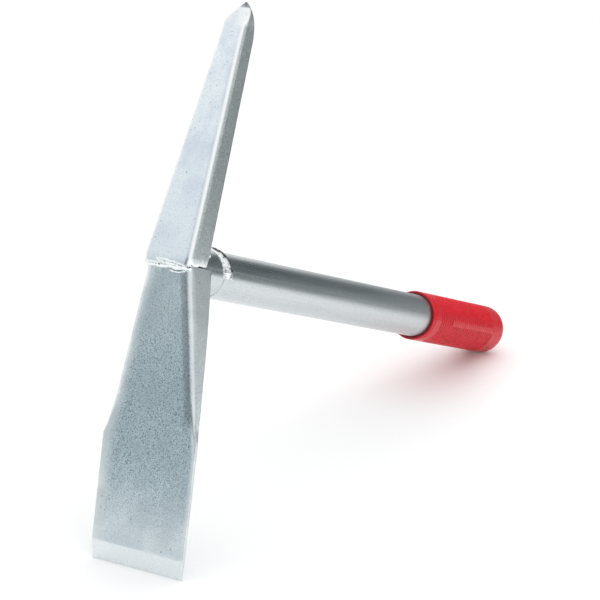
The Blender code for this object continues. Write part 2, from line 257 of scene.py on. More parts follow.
def swell(distance, reach):
    """A smooth hump: 1 at no distance, and nearly 0 past twice the reach."""
    return math.exp(-((distance / reach) ** 2))


def lumps(place, size, seed=0.0):
    """Smooth noise between about -1 and 1, whose lumps are about this size."""
    return noise.noise(place / size + Vector((seed, seed * 1.7, -seed)))


# Frame of the tool


def tool_frame():
    """The matrix from the tool's own frame to the row frame, read off both ends of the CAD tube."""
    cad_tube = frame["nodes"]["handle_tube"].data
    low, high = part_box("handle_tube")
    middle = (low.x + high.x) / 2
    ends = []
    for at_head in (True, False):
        found = [vert.co for vert in cad_tube.vertices if (vert.co.x < middle) == at_head]
        corner = Vector([min(co[axis] for co in found) for axis in range(3)])
        opposite = Vector([max(co[axis] for co in found) for axis in range(3)])
        ends.append((corner + opposite) / 2)
    along = (ends[1] - ends[0]).normalized()
    across = Vector((0, 1, 0))
    origin = ends[0] - along * TUBE_START
    turn = Matrix((along, across, along.cross(across))).transposed()
    return Matrix.Translation(origin) @ turn.to_4x4()


# Meshes


def edges_of(verts):
    return list({edge for vert in verts for edge in vert.link_edges})


def rounded_ring(section, cuts, lean):
    """A mesh of one rounded rectangle across an arm of the head, tilted so that its near side is higher.

    A point moves along X by lean for each metre that it is tilted down, which keeps the arm's front plane.
    """
    bm = bmesh.new()
    low, high, half = section.front, section.back, section.half
    corners = [bm.verts.new((x, y, 0)) for x, y in ((low, -half), (high, -half), (high, half), (low, half))]
    for i in range(4):
        bm.edges.new((corners[i - 1], corners[i]))
    for ends, reach in ((corners[::3], section.round_front), (corners[1:3], section.round_back)):
        bmesh.ops.bevel(bm, geom=ends, offset=reach, segments=CORNER_STEPS, profile=0.5,
                        affect="VERTICES", material=-1)
    sides = sorted(bm.edges, key=lambda edge: edge.calc_length())[-4:]
    across = [edge for edge in sides if abs(edge.verts[0].co.x - edge.verts[1].co.x) < TOUCHING]
    along = [edge for edge in sides if edge not in across]
    bmesh.ops.subdivide_edges(bm, edges=across, cuts=cuts[0])
    bmesh.ops.subdivide_edges(bm, edges=along, cuts=cuts[1])
    tilted = Matrix((
        (1, lean * section.tilt, 0, 0),
        (0, 1, 0, 0),
        (0, -section.tilt, 1, section.height),
        (0, 0, 0, 1),
    ))
    bmesh.ops.transform(bm, matrix=tilted, verts=bm.verts)
    ring = bpy.data.meshes.new("ring")
    bm.to_mesh(ring)
    bm.free()
    return ring


def lofted(rings):
    """A closed body through a row of ring meshes."""
    bm = bmesh.new()
    loops = []
    for ring in rings:
        known = len(bm.edges)
        bm.from_mesh(ring)
        bpy.data.meshes.remove(ring)
        loops.append(bm.edges[:][known:])
    skin(bm, loops)
    return bm


def skin(bm, rings):
    """Joins a row of rings into one closed body, with a face over the first ring and over the last."""
    for lower, upper in zip(rings, rings[1:]):
        bmesh.ops.bridge_loops(bm, edges=lower + upper)
    for end in (rings[0], rings[-1]):
        bmesh.ops.contextual_create(bm, geom=end)


def turned(outline, closed, steps, start=0.0, angle=math.tau):
    """A bmesh turned round the handle's axis from an outline of (x, radius) points."""
    bm = bmesh.new()
    verts = [bm.verts.new((x, -radius, 0.0)) for x, radius in outline]
    for i in range(0 if closed else 1, len(verts)):
        bm.edges.new((verts[i - 1], verts[i]))
    full = angle > math.radians(359)
    if not full:
        bmesh.ops.rotate(bm, verts=verts, cent=(0, 0, 0), matrix=Matrix.Rotation(start, 3, "X"))
        bmesh.ops.contextual_create(bm, geom=bm.edges[:])
    bmesh.ops.spin(bm, geom=bm.verts[:] + bm.edges[:] + bm.faces[:], axis=(1, 0, 0), cent=(0, 0, 0),
                   angle=angle, steps=steps, use_merge=full)
    return bm


def piece(name, bm, node, materials, sharp=35):
    """Closes a bmesh, moves it to its place in the row frame, and lets it stand for its CAD node."""
    bmesh.ops.remove_doubles(bm, verts=bm.verts, dist=0.002 * MM)
    bmesh.ops.recalc_face_normals(bm, faces=bm.faces)
    bmesh.ops.transform(bm, matrix=TOOL, verts=bm.verts)
    mesh = bpy.data.meshes.new(name)
    bm.to_mesh(mesh)
    bm.free()
    mesh.shade_smooth()
    mesh.set_sharp_from_angle(angle=math.radians(sharp))
    for surface in materials:
        mesh.materials.append(surface)
    made = bpy.data.objects.new(name, mesh)
    bpy.context.scene.collection.objects.link(made)
    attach(made, "root")
    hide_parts(node)


def displace(bm, amount):
    """Moves each point along its normal by what the function says for its place."""
    bm.normal_update()
    moves = [(vert, vert.normal * amount(vert.co)) for vert in bm.verts]
    for vert, move in moves:
        vert.co += move


# Pick arm


def pick_taper(height, tilt=0.0, inset=0.0):
    """A section of the pick arm's straight taper, drawn in by inset at its front and its sides."""
    share = (height - SEAM_HEIGHT) / (PICK_SHOULDER_HEIGHT - SEAM_HEIGHT)
    return Section(
        height,
        tilt,
        between(PICK_BASE_FRONT, PICK_SHOULDER_FRONT, share) + inset,
        between(PICK_BASE_BACK, PICK_SHOULDER_BACK, share),
        between(PICK_BASE_HALF, PICK_SHOULDER_HALF, share) - inset,
        PICK_FRONT_ROUND,
        PICK_BACK_ROUND,
    )


def pick_point(share):
    """A section of the pick's point, whose front carries the taper on before it sweeps back to the tip."""
    height = between(PICK_SHOULDER_HEIGHT, TIP_HEIGHT, share)
    swept = eased((share - POINT_SWEEP_START) / (1 - POINT_SWEEP_START))
    return Section(
        height,
        0.0,
        between(pick_taper(height).front, TIP_X - TIP_HALF, swept),
        between(TIP_X + TIP_HALF, PICK_SHOULDER_BACK, (1 - share) ** 1.3),
        between(PICK_SHOULDER_HALF, TIP_HALF, share ** 3.0),
        between(PICK_FRONT_ROUND, TIP_ROUND, share ** 1.5),
        between(PICK_BACK_ROUND, TIP_ROUND, share ** 1.5),
    )


def pick():
    """The forged pick: flat tapering faces with soft edges, faint hammer hollows, and a blunt point."""
    base = SEAM_HEIGHT + SEAM_GAP / 2
    lean = (PICK_BASE_FRONT - PICK_SHOULDER_FRONT) / (PICK_SHOULDER_HEIGHT - SEAM_HEIGHT)
    foot_steps, taper_steps, point_steps = 6, 64, 26
    sections = []
    for step in range(foot_steps):
        share = step / foot_steps
        inset = PICK_CHAMFER * (1 - share) ** 1.6
        sections.append(pick_taper(base + PICK_CHAMFER_HEIGHT * share, SEAM_TILT, inset))
    for step in range(taper_steps):
        share = step / taper_steps
        height = between(base + PICK_CHAMFER_HEIGHT, PICK_SHOULDER_HEIGHT, share)
        sections.append(pick_taper(height, SEAM_TILT * (1 - share)))
    sections += [pick_point(step / point_steps) for step in range(point_steps + 1)]
    bm = lofted([rounded_ring(section, PICK_CUTS, lean) for section in sections])
    open_slit(bm)

    def forged(place):
        return -abs(lumps(place, PICK_HOLLOWS, 3.1)) * HOLLOW_DEPTH + lumps(place, 4 * MM, 5.2) * 0.015 * MM

    displace(bm, forged)
    piece("pick", bm, "pick_arm", [zinc_plated_forging_smooth()])


def open_slit(bm):
    """Lifts the foot's lower edge on the near side, where the two arms don't quite meet."""
    for vert in bm.verts:
        x, y, z = vert.co
        low = eased((SEAM_HEIGHT + 1.6 * MM - SEAM_TILT * y - z) / (1.4 * MM))
        along = eased((x - SLIT_START) / (2 * MM)) * eased((SLIT_END - x) / (1.5 * MM))
        if y < SLIT_FROM_Y:
            vert.co.z += SLIT_HEIGHT * low * along * (1 + 0.5 * lumps(Vector((x, 0, 0)), 2 * MM, 8.8))


# Blade arm


def blade_front(depth):
    """The X of the blade arm's front plane."""
    return BLADE_FRONT + BLADE_LEAN * depth


def blade_neck(depth):
    """A section of the blade arm between the seam and the shoulders; its rounded edges run out downwards."""
    rounded = min(1.0, (SHOULDER_DEPTH - depth) / ROUND_RUNOUT)
    return Section(
        -depth,
        between(SEAM_TILT, SHOULDER_TILT, max(0.0, depth) / SHOULDER_DEPTH),
        blade_front(depth),
        BELLY_BACK - BELLY_CURVE * (depth - BELLY_DEPTH) ** 2,
        BLADE_TOP_HALF + BLADE_FLARE * depth,
        between(PLATE_ROUND, BLADE_FRONT_ROUND, rounded),
        between(PLATE_ROUND, BLADE_BACK_ROUND, rounded),
    )


def blade_plate(depth, tilt, half):
    """A section of the flat plate under the shoulders."""
    front = blade_front(depth)
    return Section(-depth, tilt, front, front + PLATE_THICKNESS, half, PLATE_ROUND, PLATE_ROUND)


def mixed(first, last, share):
    return Section(*[between(a, b, share) for a, b in zip(first, last)])


def blade():
    """The forged blade: a boxy neck that flares to two shoulders, then a flat plate with a ground edge."""
    neck_steps, shoulder_steps, plate_steps, bevel_steps = 44, 5, 40, 6
    top = SEAM_GAP / 2 - SEAM_HEIGHT
    sections = [blade_neck(between(top, NECK_END, step / neck_steps)) for step in range(neck_steps + 1)]
    shoulder = blade_plate(SHOULDER_DEPTH, SHOULDER_TILT, PLATE_HALF)
    neck_end = sections[neck_steps]
    sections += [mixed(neck_end, shoulder, step / shoulder_steps) for step in range(1, shoulder_steps)]
    bevel_top = blade_plate(BEVEL_DEPTH, 0.0, PLATE_HALF)
    sections += [mixed(shoulder, bevel_top, step / plate_steps) for step in range(plate_steps + 1)]
    back = blade_front(EDGE_DEPTH) + PLATE_THICKNESS
    edge = Section(-EDGE_DEPTH, 0.0, back - EDGE_LAND, back, EDGE_HALF, EDGE_ROUND, EDGE_ROUND)
    sections += [mixed(bevel_top, edge, step / bevel_steps) for step in range(1, bevel_steps + 1)]
    bm = lofted([rounded_ring(section, BLADE_CUTS, BLADE_LEAN) for section in sections])
    fall_away(bm)
    displace(bm, forged_skin)
    grind_bevel(bm)
    materials = [zinc_plated_forging_rough(), zinc_plated_ground_bevel()]
    piece("blade", bm, "blade_arm", materials)


def fall_away(bm):
    """Slopes the neck's front down to both rounded edges; this runs out at the seam and the shoulders."""
    for vert in bm.verts:
        x, y, z = vert.co
        section = blade_neck(max(0.0, -z))
        reach = FALL_WIDTH - (section.half - abs(y))
        through = (x - section.front) / (section.back - section.front)
        if reach <= 0 or through >= 1 or -z > NECK_END:
            continue
        slope = NEAR_FALL if y < 0 else FAR_FALL
        started = min(1.0, reach / FALL_SOFTNESS)
        drop = slope * (reach - FALL_SOFTNESS * started * (1 - started / 2))
        fade = eased((2 * MM - z) / (4 * MM)) * eased((NECK_END + z) / (10 * MM))
        vert.co.x += drop * (1 - through) * fade


def forged_skin(place):
    """The unevenness that forging leaves on the blade, and less of it towards the ground edge."""
    worn = eased((BEVEL_DEPTH + place.z) / (30 * MM))
    hollow = -abs(lumps(place, BLADE_HOLLOWS, 7.7)) * HOLLOW_DEPTH
    return (hollow + lumps(place, 3.5 * MM, 1.3) * 0.012 * MM) * worn


def grind_bevel(bm):
    """Gives the bevel's faces their own material, and its upper line the small steps of a grinding belt."""
    ground = set()
    for face in bm.faces:
        middle = face.calc_center_median()
        front_reach = middle.x - blade_front(-middle.z)
        in_bevel = middle.z < -BEVEL_DEPTH and front_reach < PLATE_THICKNESS - EDGE_LAND * 0.6
        if in_bevel and face.normal.x < -0.5:
            face.material_index = 1
            ground.update(face.verts)
    for vert in ground:
        if abs(vert.co.z + BEVEL_DEPTH) < 0.5 * MM:
            step = 0.28 * MM * lumps(Vector((vert.co.y, 0, 0)), 1.9 * MM, 2.2)
            vert.co += Vector((-BLADE_LEAN * step, 0, step))


# Weld beads


def bead(path, radii, up, sides=20):
    """A round bar along a path, with a radius for each of its points; up is a direction across the path."""
    bm = bmesh.new()
    rings = []
    for i, point in enumerate(path):
        along = (path[min(i + 1, len(path) - 1)] - path[max(i - 1, 0)]).normalized()
        side = along.cross(up).normalized()
        turn = Matrix((side, side.cross(along), along)).transposed().to_4x4()
        verts = bmesh.ops.create_circle(bm, cap_ends=False, segments=sides, radius=radii[i],
                                        matrix=Matrix.Translation(point) @ turn)["verts"]
        rings.append(edges_of(verts))
    skin(bm, rings)
    return bm


def weld_ripple(run, across):
    """The height, 0 to 1, of a weld's scale-like ripples at a distance along the bead and a place across it."""
    phase = run / WELD_PITCH + 0.45 * across * across
    phase += 0.45 * lumps(Vector((run, across * MM, 0)), 3 * MM, 9.1)
    share = phase - math.floor(phase)
    return eased(share / 0.18) - share ** 2.2


def weld_run(start, end, sag, radius):
    """A short run of weld metal with round ends; its sizes are in millimetres."""
    steps = 70
    path = []
    radii = []
    for step in range(steps + 1):
        share = step / steps
        droop = Vector((0, 0, -sag * 4 * share * (1 - share)))
        path.append((Vector(start).lerp(Vector(end), share) + droop) * MM)
        pointed = abs(2 * share - 1) ** 3
        radii.append(radius * MM * math.sqrt(1 - 0.98 * pointed))
    bm = bead(path, radii, Vector((0, 0, 1)), sides=36)
    displace(bm, lambda place: (0.30 * lumps(place, 1.7 * MM, 4.9) + 0.10 * lumps(place, 0.7 * MM, 1.9)) * MM)
    return bm


def take_in(bm, other):
    """Adds the body in another bmesh to this one."""
    mesh = bpy.data.meshes.new("run")
    other.to_mesh(mesh)
    other.free()
    bm.from_mesh(mesh)
    bpy.data.meshes.remove(mesh)


def seam_bead():
    """The bead in the step between the arms, with the runs of metal over it and a blob at its near end."""
    steps = 190
    path = []
    radii = []
    for step in range(steps + 1):
        y = (2 * step / steps - 1) * (SEAM_BEAD_HALF + 0.1 * MM)
        turned_in = max(0.0, (abs(y) - SEAM_BEAD_TURN) / (SEAM_BEAD_HALF - SEAM_BEAD_TURN))
        x = SEAM_BEAD_X + SEAM_BEAD_TURN_DEPTH * turned_in ** 2
        wander = 0.45 * MM * lumps(Vector((y, 0, 0)), 6 * MM, 4.4)
        path.append(Vector((x, y, SEAM_HEIGHT - SEAM_BEAD_DROP - SEAM_TILT * y + wander)))
        radii.append(SEAM_BEAD_RADIUS * (0.86 + 0.16 * lumps(Vector((y, 0, 0)), 4 * MM, 6.4)))
    bm = bead(path, radii, Vector((0, 0, 1)), sides=40)

    def height(place):
        rope = 1 - 2.4 * abs(lumps(Vector((0.35 * place.y, 0, place.z + 0.35 * place.y)), 2.4 * MM, 5.9))
        across = (place.z - SEAM_HEIGHT + SEAM_TILT * place.y) / SEAM_BEAD_RADIUS
        ripple = 0.04 * weld_ripple(place.y, across)
        return (0.26 * rope + ripple + 0.10 * lumps(place, 1.8 * MM, 8.2) - 0.2) * MM

    displace(bm, height)
    for vert in bm.verts:
        under = SEAM_HEIGHT - SEAM_BEAD_DROP - SEAM_TILT * vert.co.y - vert.co.z
        if under > 0:
            vert.co.z -= under * (0.10 + 0.35 * swell(vert.co.y - SEAM_SAG_Y, 6 * MM))
            vert.co.x += under * 0.2
    for start, end, sag, radius in SEAM_RUNS:
        take_in(bm, weld_run(start, end, sag, radius))
    piece("seam_bead", bm, "seam_weld", [zinc_plated_weld()], sharp=60)


def tube_bead():
    """The bead over the upper half of the joint: a crescent with a hump on its heel and a thin skirt."""
    heel, toe = TUBE_BEAD_HEEL, TUBE_BEAD_TOE
    inside = TUBE_RADIUS - 0.3 * MM
    top_steps = 28
    outline = [(toe, inside)]
    outline += [(between(toe, heel, step / top_steps), TUBE_RADIUS) for step in range(top_steps + 1)]
    outline.append((heel, inside))
    bm = turned(outline, closed=True, steps=170, start=-TUBE_BEAD_START, angle=TUBE_BEAD_SPAN)
    for vert in bm.verts:
        x, y, z = vert.co
        reach = math.hypot(y, z)
        if reach < TUBE_RADIUS - 0.1 * MM or x < heel + TOUCHING:
            continue
        share = (x - heel) / (toe - heel)
        angle = math.atan2(z, -y)
        ends = eased((TUBE_BEAD_START - angle) / TUBE_BEAD_RUNOUT)
        ends *= eased((angle + TUBE_BEAD_SPAN - TUBE_BEAD_START) / TUBE_BEAD_RUNOUT)
        rising = math.sin(math.pi / 2 * min(1.0, share / 0.56))
        hump = TUBE_BEAD_HUMP * rising * (1 - eased((share - 0.54) / 0.18))
        rim = TUBE_BEAD_RIM * swell(share - 0.9, 0.06)
        ripple = 0.08 * MM * weld_ripple(angle * TUBE_RADIUS, 2 * share - 0.6) * eased((0.66 - share) / 0.1)
        lump = 0.13 * MM * lumps(vert.co, 2.2 * MM, 2.9) + 0.07 * MM * lumps(vert.co, 1.0 * MM, 6.1)
        grown = reach + (hump + rim + ripple + lump) * (0.25 + 0.75 * ends)
        vert.co.y *= grown / reach
        vert.co.z *= grown / reach
    piece("tube_bead", bm, "tube_weld", [zinc_plated_weld()], sharp=60)


def root_bead(name, node, x, middle):
    """A bead round part of the spigot, against the back of the head; middle is its angle from +Y."""
    steps = 90
    path = []
    radii = []
    for step in range(steps + 1):
        angle = middle + (ROOT_BEAD_SPAN + ROOT_BEAD_ENDS) * (step / steps - 0.5)
        path.append(Vector((x, ROOT_BEAD_REACH * math.cos(angle), ROOT_BEAD_REACH * math.sin(angle))))
        rounded = min(1.0, min(step, steps - step) / 6)
        radii.append(ROOT_BEAD_RADIUS * (0.35 + 0.65 * math.sqrt(1 - (1 - rounded) ** 2)) + 0.1 * MM)
    bm = bead(path, radii, Vector((1, 0, 0)))

    def height(place):
        run = math.atan2(place.z, place.y) * ROOT_BEAD_REACH
        ripple = weld_ripple(run, (place.x - x) / ROOT_BEAD_RADIUS)
        return 0.12 * MM * ripple + 0.14 * MM * lumps(place, 2.4 * MM, 3.3)

    displace(bm, height)
    piece(name, bm, node, [zinc_plated_weld()], sharp=60)


# Handle


def tube():
    """The drawn tube, open at both ends, with its edges broken."""
    bore = TUBE_RADIUS - TUBE_WALL
    soft = TUBE_EDGE_ROUND
    runs = 60
    start, end = TUBE_START + soft, TUBE_END - soft
    outline = [(between(start, end, step / runs), TUBE_RADIUS) for step in range(runs + 1)]
    outline += [(TUBE_END, TUBE_RADIUS - soft), (TUBE_END, bore)]
    outline += [(TUBE_START, bore), (TUBE_START, TUBE_RADIUS - soft)]
    bm = turned(outline, closed=True, steps=96)
    piece("tube", bm, "handle_tube", [zinc_plated_drawn_tube()])


def spigot_bar():
    """The turned spigot: its collar reaches the pick above the blade arm, and lower down stops at the belly."""
    outline = [
        (SPIGOT_START, 0.0),
        (SPIGOT_START, SPIGOT_RADIUS),
        (COLLAR_FOOT, SPIGOT_RADIUS),
        (COLLAR_FOOT, COLLAR_RADIUS),
        (between(COLLAR_FOOT, COLLAR_END, 0.3), COLLAR_RADIUS),
        (COLLAR_END - 0.3 * MM, COLLAR_RADIUS),
        (COLLAR_END, COLLAR_RADIUS - 0.3 * MM),
        (COLLAR_END, SPIGOT_RADIUS),
        (SPIGOT_END - SPIGOT_CHAMFER, SPIGOT_RADIUS),
        (SPIGOT_END, SPIGOT_RADIUS - SPIGOT_CHAMFER),
        (SPIGOT_END, 0.0),
    ]
    bm = turned(outline, closed=False, steps=96)
    for vert in bm.verts:
        if vert.co.z > SEAM_HEIGHT + 0.2 * MM and abs(vert.co.x - COLLAR_FOOT) < TOUCHING:
            vert.co.x = COLLAR_TOP
    piece("spigot_bar", bm, "spigot", [zinc_plated_drawn_tube()])


def grip_outline():
    """The grip's half section: over the flat lip and the ribs to the domed end, then along the bore."""
    points = [(GRIP_START + 0.2 * MM, GRIP_BORE), (GRIP_START, GRIP_BORE + 0.2 * MM)]
    lip_steps = 8
    for step in range(lip_steps + 1):
        angle = math.pi / 2 * step / lip_steps
        points.append((GRIP_START + LIP_ROUND * (1 - math.cos(angle)),
                       GRIP_RADIUS - LIP_ROUND * (1 - math.sin(angle))))
    points += [(LIP_GROOVE_X - 0.5 * MM, GRIP_RADIUS - 0.1 * MM), (LIP_GROOVE_X, GRIP_RADIUS - LIP_GROOVE)]
    points.append((SMOOTH_START, GRIP_RADIUS - 0.1 * MM))
    smooth_steps = 10
    for step in range(1, smooth_steps):
        points.append((between(SMOOTH_START, RIB_START - RIB_PITCH / 2, step / smooth_steps), GRIP_RADIUS))
    for step in range(RIB_COUNT * RIB_STEPS + 1):
        run = step / RIB_STEPS - 0.5
        off_crest = 2 * abs(run - round(run))
        sunk = RIB_DEPTH * (1 - math.sqrt(1 - RIB_FULLNESS * off_crest ** 2))
        points.append((RIB_START + run * RIB_PITCH, GRIP_RADIUS - sunk))
    ribs_end = RIB_START + RIB_COUNT * RIB_PITCH
    points.append((ribs_end - RIB_PITCH * 0.2, GRIP_RADIUS))
    points.append((between(ribs_end, GRIP_END - GRIP_END_ROUND, 0.35), GRIP_RADIUS))
    dome_steps = 16
    for step in range(dome_steps + 1):
        angle = math.pi / 2 * step / dome_steps
        points.append((GRIP_END - GRIP_END_ROUND * (1 - math.sin(angle)),
                       GRIP_RADIUS - GRIP_END_ROUND * (1 - math.cos(angle))))
    points += [(GRIP_END, 0.0), (GRIP_END - GRIP_END_WALL, 0.0), (GRIP_END - GRIP_END_WALL, GRIP_BORE)]
    return points


def grip():
    """The moulded sleeve: ribs all round but for a smooth strip on each side, with the mould's parting line."""
    bm = turned(grip_outline(), closed=True, steps=176)
    for vert in bm.verts:
        reach = math.hypot(vert.co.y, vert.co.z)
        if reach < (GRIP_BORE + GRIP_RADIUS) / 2 or vert.co.x > GRIP_END - GRIP_END_ROUND:
            continue
        off_side = abs(math.atan2(vert.co.z, abs(vert.co.y)))
        strip = 1 - eased((off_side - STRIP_HALF_ANGLE) / STRIP_EDGE_ANGLE)
        strip *= eased((vert.co.x - STRIP_START) / (1.2 * MM))
        grown = between(reach, max(reach, GRIP_RADIUS - 0.05 * MM), strip)
        parting = off_side * GRIP_RADIUS / PARTING_HALF_WIDTH
        if parting < 1 and SMOOTH_START < vert.co.x:
            grown += PARTING_HEIGHT * (1 - parting) * (reach > GRIP_RADIUS - 0.2 * MM)
            grown = min(grown, GRIP_RADIUS + PARTING_HEIGHT)
        vert.co.y *= grown / reach
        vert.co.z *= grown / reach
    piece("grip_sleeve", bm, "grip", [red_soft_pvc()], sharp=30)


# Materials


def colour(code):
    """The linear colour of an sRGB hex code."""
    parts = [int(code[i:i + 2], 16) / 255 for i in (0, 2, 4)]
    linear = [part / 12.92 if part <= 0.04045 else ((part + 0.055) / 1.055) ** 2.4 for part in parts]
    return (*linear, 1.0)


def add(tree, kind, inputs=(), out=0, **settings):
    """Adds a shader node with its settings and links, and gives one of its outputs.

    An input, by its name or its number, takes a value or another node's output.
    """
    made = tree.nodes.new("ShaderNode" + kind)
    for name, value in settings.items():
        setattr(made, name, value)
    for socket, value in dict(inputs).items():
        if isinstance(value, bpy.types.NodeSocket):
            tree.links.new(value, made.inputs[socket])
        else:
            made.inputs[socket].default_value = value
    return made.outputs[out] if made.outputs else None


def bare_material(name):
    """A new material and its empty node tree."""
    made = bpy.data.materials.new(name)
    made.use_nodes = True
    made.node_tree.nodes.clear()
    return made, made.node_tree


def tool_place(tree, stretch=(1, 1, 1)):
    """Object coordinates turned into the tool's own frame, in metres, and stretched along its axes."""
    place = add(tree, "TexCoord", out="Object")
    turned_back = add(tree, "Mapping", {"Vector": place, "Location": TOOL.to_translation(),
                                        "Rotation": TOOL.to_euler()}, vector_type="TEXTURE")
    return add(tree, "Mapping", {"Vector": turned_back, "Scale": stretch}, vector_type="POINT")


def zinc_plated_forging_smooth():
    """Bright zinc over a ground forging: pale blue white, almost even, with a few pinholes and faint clouds.

    Its long rounded edges carry a painted highlight, a band of near white. The sides are left as forged,
    duller and mottled, and the last 3 mm of the point are sheared bare steel.
    """
    made, tree = bare_material("zinc_plated_forging_smooth")
    place = tool_place(tree)
    _, across, height = add(tree, "SeparateXYZ", {0: place}).node.outputs
    rise = add(tree, "MapRange", {0: height, 1: 0.0, 2: 110 * MM})
    base = add(tree, "Mix", {0: rise, 6: colour("e9eef0"), 7: colour("f5f8f9")}, out=2, data_type="RGBA")
    clouds = add(tree, "TexNoise", {"Vector": place, "Scale": 1 / (18 * MM), "Detail": 2.0})
    clouded = add(tree, "MapRange", {0: clouds, 1: 0.40, 2: 0.62, 4: 0.8}, interpolation_type="SMOOTHSTEP")
    base = add(tree, "Mix", {0: clouded, 6: base, 7: colour("dce2eb")}, out=2, data_type="RGBA")
    fine = add(tree, "TexNoise", {"Vector": place, "Scale": 1 / (0.8 * MM), "Detail": 3.0, "Roughness": 0.6})
    grainy = add(tree, "MapRange", {0: fine, 1: 0.30, 2: 0.55, 3: 0.35, 4: 0.0})
    base = add(tree, "Mix", {0: grainy, 6: base, 7: colour("aab6be")}, out=2, data_type="RGBA")
    holes = add(tree, "TexNoise", {"Vector": place, "Scale": 1 / (1.3 * MM), "Detail": 1.0})
    pinholes = add(tree, "MapRange", {0: holes, 1: 0.22, 2: 0.29, 3: 0.8, 4: 0.0})
    base = add(tree, "Mix", {0: pinholes, 6: base, 7: colour("6f7a80")}, out=2, data_type="RGBA")
    taper = {0: height, 2: PICK_SHOULDER_HEIGHT, 3: PICK_BASE_HALF, 4: PICK_SHOULDER_HALF}
    half = add(tree, "MapRange", taper)
    beside = add(tree, "Math", {0: across}, operation="ABSOLUTE")
    beside = add(tree, "Math", {0: beside, 1: half}, operation="SUBTRACT")
    # Painted highlight: a near white band along the rounded long edges, brighter than the faces
    ridge_highlight = add(tree, "MapRange", {0: beside, 1: -2.6 * MM, 2: -1.4 * MM}, interpolation_type="SMOOTHSTEP")
    base = add(tree, "Mix", {0: ridge_highlight, 6: base, 7: colour("fafcfd")}, out=2, data_type="RGBA")
    side = add(tree, "MapRange", {0: beside, 1: -0.6 * MM, 2: -0.05 * MM}, interpolation_type="SMOOTHSTEP")
    mottled = add(tree, "MapRange", {0: fine, 1: 0.42, 2: 0.58})
    forged = add(tree, "Mix", {0: mottled, 6: colour("c3cdce"), 7: colour("e4ebec")}, out=2, data_type="RGBA")
    base = add(tree, "Mix", {0: side, 6: base, 7: forged}, out=2, data_type="RGBA")
    wavy = add(tree, "Math", {0: fine, 1: 1.6 * MM, 2: height}, operation="MULTIPLY_ADD")
    sheared = add(tree, "MapRange", {0: wavy, 1: 137.4 * MM, 2: 138.2 * MM})
    dull = add(tree, "MapRange", {0: fine, 1: 0.4, 2: 0.6, 3: 0.0, 4: 1.0})
    steel = add(tree, "Mix", {0: dull, 6: colour("70777a"), 7: colour("b4babc")}, out=2, data_type="RGBA")
    base = add(tree, "Mix", {0: sheared, 6: base, 7: steel}, out=2, data_type="RGBA")
    rough = add(tree, "MapRange", {0: fine, 1: 0.3, 2: 0.7, 3: 0.32, 4: 0.40})
    normal = add(tree, "Bump", {"Height": fine, "Distance": 0.02 * MM, "Strength": 0.4})
    looks = {"Base Color": base, "Metallic": 1.0, "Roughness": rough, "Normal": normal}
    add(tree, "OutputMaterial", {"Surface": add(tree, "BsdfPrincipled", looks)})
    return made


